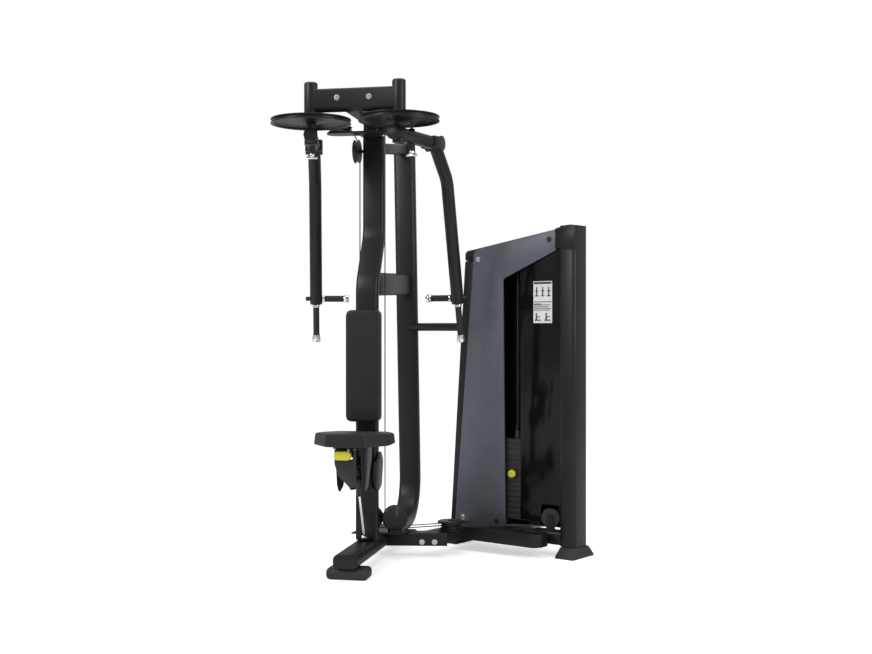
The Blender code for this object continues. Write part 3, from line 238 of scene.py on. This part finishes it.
M = {
    "frame_paint": material(
        "frame_paint", (0.0085, 0.0085, 0.0090), (0.0125, 0.0125, 0.0132), (0.30, 0.44),
        (1400.0, 0.16, 0.00025),
        # painted highlight: the frame's edges are lightened to this grey
        edge_highlight=(0.0012, 0.45, (0.045, 0.045, 0.047)), Specular_IOR_Level=0.28,
    ),
    "panel_paint": material(
        "panel_paint", (0.095, 0.104, 0.124), (0.112, 0.122, 0.145), (0.36, 0.50), (1700.0, 0.22, 0.0002),
        # painted highlight: the panel's edges are lightened to this grey
        edge_highlight=(0.0010, 0.4, (0.25, 0.26, 0.28)), Metallic=0.25,
    ),
    "gloss_black": material(
        "gloss_black", (0.0035, 0.0035, 0.0038), (0.0050, 0.0050, 0.0054), (0.10, 0.16),
        (260.0, 0.02, 0.0002),
        Specular_IOR_Level=0.22,
    ),
    "upholstery": vinyl("upholstery", (0.0085, 0.0085, 0.0088), (0.0125, 0.0125, 0.0130), 620.0, 0.30),
    "seam_vinyl": vinyl("seam_vinyl", (0.006, 0.006, 0.006), (0.009, 0.009, 0.009), 900.0, 0.2),
    "grip_rubber": material(
        "grip_rubber", (0.012, 0.012, 0.012), (0.020, 0.020, 0.020), (0.62, 0.80),
        (900.0, 0.35, 0.0003),
    ),
    "foot_rubber": material(
        "foot_rubber", (0.011, 0.011, 0.012), (0.019, 0.019, 0.020), (0.55, 0.72), (700.0, 0.30, 0.0003),
        # painted highlight: the feet's edges are lightened to this grey
        edge_highlight=(0.0020, 0.35, (0.05, 0.05, 0.05)),
    ),
    "chrome": material(
        "chrome", (0.74, 0.74, 0.76), (0.84, 0.84, 0.86), (0.07, 0.15), (420.0, 0.04, 0.0001),
        metallic=1.0,
    ),
    "bolt_steel": material(
        "bolt_steel", (0.50, 0.50, 0.52), (0.66, 0.66, 0.68), (0.20, 0.34), (800.0, 0.12, 0.0001),
        metallic=1.0,
    ),
    "dark_steel": material(
        "dark_steel", (0.045, 0.045, 0.048), (0.075, 0.075, 0.080), (0.28, 0.42), (800.0, 0.12, 0.0001),
        metallic=0.9,
    ),
    "plate_iron": material(
        "plate_iron", (0.010, 0.010, 0.011), (0.018, 0.018, 0.019), (0.42, 0.60), (500.0, 0.40, 0.0004),
        # painted highlight: the plates' edges are lightened to this grey
        edge_highlight=(0.0010, 0.5, (0.07, 0.07, 0.07)),
    ),
    "pulley_plastic": material(
        "pulley_plastic", (0.009, 0.009, 0.010), (0.015, 0.015, 0.016), (0.32, 0.46),
        (600.0, 0.12, 0.0002),
    ),
    "cable_coat": material(
        "cable_coat", (0.010, 0.010, 0.010), (0.020, 0.020, 0.021), (0.30, 0.42),
        (1200.0, 0.15, 0.0001),
    ),
    "yellow_plastic": material(
        "yellow_plastic", (0.56, 0.50, 0.020), (0.66, 0.59, 0.030), (0.26, 0.38), (700.0, 0.10, 0.0002),
        Subsurface_Weight=0.05,
    ),
    "label_white": material(
        "label_white", (0.66, 0.66, 0.67), (0.74, 0.74, 0.75), (0.30, 0.42),
        (900.0, 0.05, 0.0001),
    ),
    "label_ink": material(
        "label_ink", (0.02, 0.02, 0.022), (0.035, 0.035, 0.038), (0.35, 0.48),
        (900.0, 0.05, 0.0001),
    ),
}


# ---------------------------------------------------------------- modelling by hand


def pick(obj):
    if bpy.context.object and bpy.context.object.mode != "OBJECT":
        bpy.ops.object.mode_set(mode="OBJECT")
    bpy.ops.object.select_all(action="DESELECT")
    obj.hide_set(False)
    obj.select_set(True)
    bpy.context.view_layer.objects.active = obj


def edit_faces(obj, chosen):
    """Enters edit mode with just the faces for which chosen(face) holds selected."""
    pick(obj)
    for vert in obj.data.vertices:
        vert.select = False
    for edge in obj.data.edges:
        edge.select = False
    for face in obj.data.polygons:
        face.select = bool(chosen(face))
    bpy.ops.object.mode_set(mode="EDIT")
    bpy.ops.mesh.select_mode(type="FACE")


def object_mode():
    bpy.ops.object.mode_set(mode="OBJECT")


def apply_all(obj):
    pick(obj)
    for step in list(obj.modifiers):
        bpy.ops.object.modifier_apply(modifier=step.name)


def bevel(obj, width, segments=2, angle=35):
    step = obj.modifiers.new("bevel", "BEVEL")
    step.width = width
    step.segments = segments
    step.limit_method = "ANGLE"
    step.angle_limit = math.radians(angle)
    step.harden_normals = False
    apply_all(obj)


def smooth(obj, angle=32):
    pick(obj)
    bpy.ops.object.shade_smooth_by_angle(angle=math.radians(angle))


def done(obj, name, finish, body, place=None, replaced=()):
    """Names a piece, moves its points to where it belongs and lets it ride on its body."""
    obj.name = name
    obj.data.name = name
    if place is not None:
        obj.data.transform(place)
    obj.data.materials.clear()
    obj.data.materials.append(M[finish])
    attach(obj, body)
    for node in replaced:
        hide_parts(node)
    return obj


def facing(place, axis):
    """The transform that takes +Z at the origin to the given axis at the given place."""
    turn = Vector((0, 0, 1)).rotation_difference(Vector(axis).normalized()).to_matrix().to_4x4()
    return Matrix.Translation(place) @ turn


def profile_turned(points, steps=40):
    """Spins a line of (radius, height) points round Z in edit mode."""
    mesh = bpy.data.meshes.new("profile")
    mesh.from_pydata([(r, 0, z) for r, z in points], [(i, i + 1) for i in range(len(points) - 1)], [])
    made = bpy.data.objects.new("profile", mesh)
    bpy.context.scene.collection.objects.link(made)
    pick(made)
    bpy.ops.object.mode_set(mode="EDIT")
    bpy.ops.mesh.select_all(action="SELECT")
    bpy.ops.mesh.spin(steps=steps, angle=math.tau, center=(0, 0, 0), axis=(0, 0, 1))
    bpy.ops.mesh.select_all(action="SELECT")
    bpy.ops.mesh.remove_doubles(threshold=0.00002)
    bpy.ops.mesh.normals_make_consistent(inside=False)
    object_mode()
    smooth(made, 35)
    return made


def cap_bolt(radius, height):
    """A cap screw's head on a washer, with a hexagonal socket."""
    washer = radius * 1.45
    points = [(0, 0), (washer, 0), (washer, 0.0011), (radius, 0.0013), (radius, height * 0.86)]
    points += [(radius * 0.93, height), (radius * 0.62, height), (radius * 0.60, height * 0.97)]
    head = profile_turned(points, 24)
    pick(head)
    bpy.ops.object.mode_set(mode="EDIT")
    bpy.ops.mesh.select_mode(type="EDGE")
    bpy.ops.mesh.select_all(action="DESELECT")
    bpy.ops.mesh.select_non_manifold()
    bpy.ops.mesh.fill()
    object_mode()
    middle = (0, 0, height * 1.05)
    bpy.ops.mesh.primitive_cylinder_add(vertices=6, radius=radius * 0.5, depth=height, location=middle)
    socket = bpy.context.object
    step = head.modifiers.new("socket", "BOOLEAN")
    step.operation = "DIFFERENCE"
    step.object = socket
    apply_all(head)
    bpy.data.objects.remove(socket, do_unlink=True)
    smooth(head, 35)
    return head


def bolts(name, finish, body, radius, height, places):
    """Several equal bolts as one piece. Each place is (point, outward axis)."""
    source = cap_bolt(radius, height)
    made = []
    for point, axis in places:
        copy = bpy.data.objects.new(name, source.data.copy())
        bpy.context.scene.collection.objects.link(copy)
        copy.data.transform(facing(point, axis))
        made.append(copy)
    bpy.data.objects.remove(source, do_unlink=True)
    first = made[0]
    if len(made) > 1:
        bpy.ops.object.select_all(action="DESELECT")
        for item in made:
            item.select_set(True)
        bpy.context.view_layer.objects.active = first
        bpy.ops.object.join()
    return done(first, name, finish, body)


def refined(node, body, finish, width=0.0010, segments=2, angle=35):
    """A CAD sub-part's own shape, merged, with its edges rounded and its curves shaded smooth."""
    source = frame["nodes"][node]
    mesh = source.data.copy()
    mesh.transform(source.matrix_world)
    made = bpy.data.objects.new(f"{node}_finished", mesh)
    bpy.context.scene.collection.objects.link(made)
    pick(made)
    bpy.ops.object.mode_set(mode="EDIT")
    bpy.ops.mesh.select_all(action="SELECT")
    bpy.ops.mesh.remove_doubles(threshold=0.00003)
    bpy.ops.mesh.dissolve_limited(angle_limit=math.radians(0.4))
    bpy.ops.mesh.normals_make_consistent(inside=False)
    object_mode()
    if width:
        step = made.modifiers.new("bevel", "BEVEL")
        step.width = width
        step.segments = segments
        step.limit_method = "ANGLE"
        step.angle_limit = math.radians(angle)
        step.use_clamp_overlap = True
        apply_all(made)
    smooth(made, 38)
    return done(made, f"{node}_finished", finish, body, None, [node])


def body_of_node(node):
    for body, names in frame["record"]["behaviour"]["bodies"].items():
        if node in names:
            return body


SLOT_OF = {item["node"]: item["material_slot"] for item in frame["record"]["subparts"]}


def shorten(cable):
    """Gives the stack's cable a mesh of its own."""
    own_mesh(cable)


def refine_all(skipped):
    """Every hard sub-part that isn't remodelled gets rounded edges and its finish."""
    for node in sorted(frame["nodes"]):
        if node in skipped:
            continue
        finish = SLOT_OF[node]
        small = node.endswith("plunger") or "pulley" in node or "gas" in node
        made = refined(node, body_of_node(node), finish, 0.0004 if small else 0.0010)
        if node == "stack_cable":
            shorten(made)


# ---------------------------------------------------------------- soft pads


def points_of(obj):
    places = np.empty(len(obj.data.vertices) * 3)
    obj.data.vertices.foreach_get("co", places)
    return places.reshape(-1, 3)


def evened(obj, values, rounds=60):
    """Values at the points of a mesh, averaged with their neighbours, so that no wrinkle is left in them."""
    ends = np.empty(len(obj.data.edges) * 2, np.int32)
    obj.data.edges.foreach_get("vertices", ends)
    first, second = ends.reshape(-1, 2).T
    count = np.bincount(ends, minlength=len(values))
    for _ in range(rounds):
        total = np.bincount(first, values[second], len(values))
        total = total + np.bincount(second, values[first], len(values))
        values = 0.5 * values + 0.5 * total / np.maximum(count, 1)
    return values


def puffed(node, name, shrink, cap, seams):
    """A pad blown up from its CAD solid by cloth pressure, up to a cap, then pressed along its seams."""
    source = frame["nodes"][node]
    mesh = source.data.copy()
    mesh.transform(source.matrix_world)
    made = bpy.data.objects.new(name, mesh)
    bpy.context.scene.collection.objects.link(made)
    pick(made)
    bpy.ops.object.mode_set(mode="EDIT")
    bpy.ops.mesh.select_all(action="SELECT")
    bpy.ops.mesh.remove_doubles(threshold=0.00003)
    object_mode()
    low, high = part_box(node)
    middle = (low + high) / 2
    size = high - low
    for vert in made.data.vertices:
        for way in range(3):
            factor = 1 - 2 * shrink / size[way]
            vert.co[way] = middle[way] + (vert.co[way] - middle[way]) * factor
    step = made.modifiers.new("remesh", "REMESH")
    step.mode = "VOXEL"
    step.voxel_size = 0.0050
    apply_all(made)
    rest = points_of(made)
    outward = np.array([vert.normal for vert in made.data.vertices])
    step = made.modifiers.new("cloth", "CLOTH")
    step.settings.use_pressure = True
    step.settings.uniform_pressure_force = 4.0
    step.settings.effector_weights.gravity = 0.0
    step.settings.tension_stiffness = 15
    step.settings.compression_stiffness = 15
    step.settings.bending_stiffness = 4.0
    step.settings.mass = 0.3
    step.point_cache.frame_start = 1
    step.point_cache.frame_end = 20
    for number in range(1, 21):
        bpy.context.scene.frame_set(number)
    apply_all(made)
    bpy.context.scene.frame_set(1)
    push = evened(made, np.clip(((points_of(made) - rest) * outward).sum(axis=1), 0, cap))
    full = rest + outward * push[:, None]
    full = np.clip(full, np.array(low) + 0.0002, np.array(high) - 0.0002)
    made.data.vertices.foreach_set("co", full.ravel())
    step = made.modifiers.new("even", "SMOOTH")
    step.factor = 0.5
    step.iterations = 3
    step = made.modifiers.new("finer", "SUBSURF")
    step.levels = 1
    step.render_levels = 1
    apply_all(made)
    for vert in made.data.vertices:
        vert.co += seams(vert.co, middle)
    pick(made)
    bpy.ops.object.shade_smooth()
    return made


def ring_points(made, way, level, inset=0.0):
    """The outline of a mesh where it crosses a level along one axis, as points in order round its middle."""
    shell = bmesh.new()
    shell.from_mesh(made.data)
    normal = Vector((0, 0, 0))
    normal[way] = 1
    place = Vector((0, 0, 0))
    place[way] = level
    cutting = bmesh.ops.bisect_plane(
        shell, geom=shell.verts[:] + shell.edges[:] + shell.faces[:], plane_co=place, plane_no=normal
    )
    points = [item.co.copy() for item in cutting["geom_cut"] if isinstance(item, bmesh.types.BMVert)]
    shell.free()
    middle = sum(points, Vector()) / len(points)
    others = [axis for axis in range(3) if axis != way]

    def angle(point):
        away = point - middle
        return math.atan2(away[others[1]], away[others[0]])

    points.sort(key=angle)
    kept = points[:: max(1, len(points) // 110)]
    return [point + (middle - point).normalized() * inset for point in kept]


def loop_tube(points, radius):
    """A closed round cord along points, as a mesh."""
    curve = bpy.data.curves.new("loop", "CURVE")
    curve.dimensions = "3D"
    curve.bevel_depth = radius
    curve.bevel_resolution = 3
    spline = curve.splines.new("POLY")
    spline.points.add(len(points) - 1)
    for item, point in zip(spline.points, points):
        item.co = (*point, 1)
    spline.use_cyclic_u = True
    made = bpy.data.objects.new("loop", curve)
    bpy.context.scene.collection.objects.link(made)
    pick(made)
    bpy.ops.object.convert(target="MESH")
    made = bpy.context.object
    smooth(made, 60)
    return made


def pads():
    def back_seams(point, middle):
        """A shallow valley round the front panel, 9 mm behind its face."""
        depth = math.exp(-(((point.y - (middle.y - 0.0215)) / 0.0022) ** 2)) * 0.0012
        away = Vector((point.x - middle.x, 0, point.z - middle.z))
        return -away.normalized() * depth if away.length > 0.02 else Vector()

    back = puffed("back_pad", "back_cushion", 0.0030, 0.0027, back_seams)
    done(back, "back_cushion", "upholstery", "frame", None, ["back_pad"])
    low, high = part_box("back_pad")
    seam = loop_tube(ring_points(back, 1, (low.y + high.y) / 2 - 0.0215, 0.0006), 0.0011)
    done(seam, "back_cushion_welt", "seam_vinyl", "frame")

    def seat_seams(point, middle):
        depth = math.exp(-(((point.z - (middle.z + 0.013)) / 0.0022) ** 2)) * 0.0012
        away = Vector((point.x - middle.x, point.y - middle.y, 0))
        return -away.normalized() * depth if away.length > 0.05 else Vector()

    seat = puffed("seat_pad", "seat_cushion", 0.0030, 0.0027, seat_seams)
    done(seat, "seat_cushion", "upholstery", "seat", None, ["seat_pad"])
    low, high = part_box("seat_pad")
    seam = loop_tube(ring_points(seat, 2, (low.z + high.z) / 2 + 0.013, 0.0006), 0.0011)
    done(seam, "seat_cushion_welt", "seam_vinyl", "seat")


# ---------------------------------------------------------------- grips


def grips():
    """Each grip is a chrome collar, a ribbed rubber sleeve and an end cap."""
    slope = (0.600 - 0.480) / (1.720 - 1.160)
    down = Vector((slope, 0, -1)).normalized()
    side_x = 0.600 - slope * (1.1846 - 1.160)
    for word, arm in ARMS.items():
        body = f"{word}_arm"
        start = Vector((0.600, 0, 1.160)) + down * 0.0004
        place = arm @ facing(start, down)
        points = [(0, 0), (0.0165, 0), (0.0172, 0.001), (0.0172, 0.0125), (0.0160, 0.0140)]
        points += [(0, 0.0140)]
        collar = profile_turned(points)
        done(collar, f"{word}_vertical_collar", "chrome", body, place, [])
        sleeve = profile_turned(ribbed_sleeve(0.0145, 0.148, 0.0148))
        done(sleeve, f"{word}_vertical_sleeve", "grip_rubber", body, place, [f"{word}_vertical_grip"])
        points = [(0.010, 0.1485), (0.0168, 0.1485), (0.0196, 0.166), (0.0198, 0.178)]
        points += [(0.0175, 0.1828), (0, 0.1833)]
        cap = profile_turned(points)
        done(cap, f"{word}_vertical_end", "chrome", body, place)
        start = Vector((side_x, INWARD[word] * 0.0296, 1.1846))
        place = arm @ facing(start, (0, INWARD[word], 0))
        points = [(0, 0), (0.0165, 0), (0.0174, 0.001), (0.0174, 0.0095), (0.0160, 0.0110)]
        points += [(0, 0.0110)]
        collar = profile_turned(points)
        done(collar, f"{word}_side_collar", "chrome", body, place)
        sleeve = profile_turned(ribbed_sleeve(0.0115, 0.1020, 0.0148))
        done(sleeve, f"{word}_side_sleeve", "grip_rubber", body, place, [f"{word}_horizontal_grip"])
        points = [(0.010, 0.1025), (0.0160, 0.1025), (0.0186, 0.109), (0.0188, 0.123)]
        points += [(0.0165, 0.1280), (0, 0.1287)]
        cap = profile_turned(points)
        done(cap, f"{word}_side_end", "chrome", body, place)


def ribbed_sleeve(start, end, radius):
    points = [(0, start), (radius - 0.0008, start)]
    count = int((end - start) / 0.0042)
    pitch = (end - start - 0.002) / count
    for k in range(count):
        base = start + 0.001 + pitch * k
        points += [(radius - 0.0006, base), (radius, base + pitch * 0.25), (radius, base + pitch * 0.70)]
    return points + [(radius - 0.0008, end), (0, end)]


# ---------------------------------------------------------------- fittings


def all_bolts():
    front = Vector((0, -1, 0))
    places = [(Vector((x, PIVOT_Y - 0.0255, 2.023)), front) for x in (-0.071, 0.069)]
    bolts("crossbeam_bolts", "bolt_steel", "frame", 0.0085, 0.007, places)
    out = (TOWER.to_3x3() @ Vector((0, -1, 0))).normalized()
    silver = [(0.139, 1.373), (0.048, 0.132)]
    dark = [(0.540, 1.453), (0.247, 0.129)]
    kinds = (("panel_bolts", "bolt_steel", silver), ("panel_dark_bolts", "dark_steel", dark))
    for name, finish, spots in kinds:
        places = [(TOWER @ Vector((t, -0.0042, z)), out) for t, z in spots]
        bolts(name, finish, "frame", 0.0095, 0.006, places)
    leg = [(0.205, 0.4135), (0.262, 0.4225)]
    out = Vector((0.156, -0.988, 0))
    places = [(Vector((x, y + 0.09 + 0.0085, 0.070)), out) for x, y in leg]
    bolts("leg_bolts", "bolt_steel", "frame", 0.0085, 0.006, places)


def in_front(name, finish, made, depth):
    """Stands a flat piece up in the tower's front plane, this far behind it."""
    place = TOWER @ Matrix.Translation((0, depth, 0)) @ upright_turn()
    return done(made, name, finish, "frame", place)


def tower_details():
    """The black cap at the tower's upper corner, its label and the label's pictograms."""
    outline = [(0.577, 1.409), (0.6095, 1.409), (0.6095, 1.400), (0.684, 1.400)]
    outline += [(0.684, 1.498), (0.668, 1.514), (0.640, 1.514), (0.577, 1.500)]
    cap = flat_piece(outline, 0.0105, 2)
    in_front("tower_corner_cap", "frame_paint", cap, -0.0105)
    label = flat_piece([(0.447, 1.068), (0.550, 1.068), (0.550, 1.262), (0.447, 1.262)], 0.0010, 1)
    in_front("instruction_placard", "label_white", label, 0.0078)
    marks = []
    blocks = [(0.466, 1.262, 0.543, 1.271), (0.466, 1.168, 0.500, 1.171), (0.466, 1.178, 0.543, 1.181)]
    blocks += [(0.466, 1.172 - 0.008 * k, 0.543 - 0.006 * (k % 3), 1.1745 - 0.008 * k) for k in range(1, 5)]
    for col in (0.470, 0.4965, 0.523):
        blocks += [(col, 1.205, col + 0.0165, 1.209), (col + 0.006, 1.209, col + 0.0105, 1.238)]
        blocks += [(col + 0.0015, 1.228, col + 0.015, 1.232)]
        blocks += [(col + 0.0055, 1.240, col + 0.011, 1.247)]
    for col in (0.470, 0.513):
        blocks += [(col, 1.092, col + 0.026, 1.097), (col + 0.004, 1.097, col + 0.010, 1.118)]
        blocks += [(col + 0.010, 1.108, col + 0.023, 1.112)]
        blocks += [(col + 0.004, 1.120, col + 0.011, 1.127)]
    for low_t, low_z, high_t, high_z in blocks:
        low_t, high_t = (0.4505 + (t - 0.466) * 1.245 for t in (low_t, high_t))
        low_z, high_z = low_z - 0.013, high_z - 0.013
        corners = [(low_t, low_z), (high_t, low_z), (high_t, high_z), (low_t, high_z)]
        marks.append(flat_piece(corners, 0.0004, 0))
    pick(marks[0])
    for item in marks:
        item.select_set(True)
    bpy.ops.object.join()
    marks = bpy.context.object
    in_front("placard_pictograms", "label_ink", marks, 0.0066)


def upright_turn():
    """Takes an outline drawn as (t, height) on the XY plane to the tower's front plane."""
    return Matrix(((1, 0, 0, 0), (0, 0, -1, 0), (0, 1, 0, 0), (0, 0, 0, 1)))


def flat_piece(outline, thick, rounds):
    """An outline filled, extruded towards the viewer's side and rounded."""
    mesh = bpy.data.meshes.new("flat")
    mesh.from_pydata([(x, y, 0) for x, y in outline], [], [tuple(range(len(outline)))])
    made = bpy.data.objects.new("flat", mesh)
    bpy.context.scene.collection.objects.link(made)
    edit_faces(made, lambda face: True)
    bpy.ops.mesh.extrude_region_move(TRANSFORM_OT_translate={"value": (0, 0, -thick)})
    bpy.ops.mesh.select_all(action="SELECT")
    bpy.ops.mesh.normals_make_consistent(inside=False)
    object_mode()
    if rounds:
        bevel(made, min(0.0015, thick * 0.4), rounds)
    smooth(made, 35)
    return made


# ---------------------------------------------------------------- light, floor and camera


def seen_only(tree, value, socket, base=0.0):
    """Feeds a socket with the value for what the camera sees, and with the base for light on the object."""
    path = add(tree, "ShaderNodeLightPath")
    choose = add(tree, "ShaderNodeMapRange")
    choose.inputs["To Min"].default_value = base
    choose.inputs["To Max"].default_value = value
    tree.links.new(path.outputs["Is Camera Ray"], choose.inputs["Value"])
    tree.links.new(choose.outputs["Result"], socket)


def stage():
    bpy.ops.mesh.primitive_plane_add(size=900, location=(0, 200, -0.0002))
    floor = bpy.context.object
    floor.name = "floor"
    made = bpy.data.materials.new("pale_floor")
    made.use_nodes = True
    shader = made.node_tree.nodes["Principled BSDF"]
    shader.inputs["Base Color"].default_value = (0.90, 0.90, 0.90, 1)
    shader.inputs["Roughness"].default_value = 0.6
    shader.inputs["Specular IOR Level"].default_value = 0.1
    shader.inputs["Emission Color"].default_value = (1, 1, 1, 1)
    seen_only(made.node_tree, 0.52, shader.inputs["Emission Strength"])
    floor.data.materials.append(made)
    world = bpy.data.worlds.new("studio")
    bpy.context.scene.world = world
    world.use_nodes = True
    back = world.node_tree.nodes["Background"]
    back.inputs["Color"].default_value = (1, 1, 1, 1)
    seen_only(world.node_tree, 1.0, back.inputs["Strength"], 0.55)


def area(name, place, target, size, power):
    data = bpy.data.lights.new(name, "AREA")
    data.shape = "RECTANGLE"
    data.size, data.size_y = size
    data.energy = power
    made = bpy.data.objects.new(name, data)
    made.location = place
    made.rotation_euler = (Vector(target) - Vector(place)).to_track_quat("-Z", "Y").to_euler()
    bpy.context.scene.collection.objects.link(made)


def lights_and_camera():
    area("key", (-2.6, -2.6, 3.6), (0.1, 0.3, 1.0), (1.6, 2.2), 110)
    area("side", (3.6, -1.2, 2.4), (0.3, 0.4, 1.0), (1.0, 2.6), 55)
    area("top", (0.2, 0.2, 4.4), (0.2, 0.3, 1.0), (2.0, 2.0), 50)
    data = bpy.data.cameras.new("camera")
    data.lens = 50
    data.sensor_width = 36
    data.clip_end = 1000
    camera = bpy.data.objects.new("camera", data)
    camera.location = (1.321, -4.894, 1.05)
    camera.rotation_euler = (math.pi / 2, 0, math.radians(11))
    bpy.context.scene.collection.objects.link(camera)
    bpy.context.scene.camera = camera


stage()
lights_and_camera()
pads()
grips()
refine_all(
    {"back_pad", "seat_pad"}
    | {f"{word}_{kind}_grip" for word in ("left", "right") for kind in ("vertical", "horizontal")}
)
all_bolts()
tower_details()
bpy.context.scene.view_settings.view_transform = "Standard"
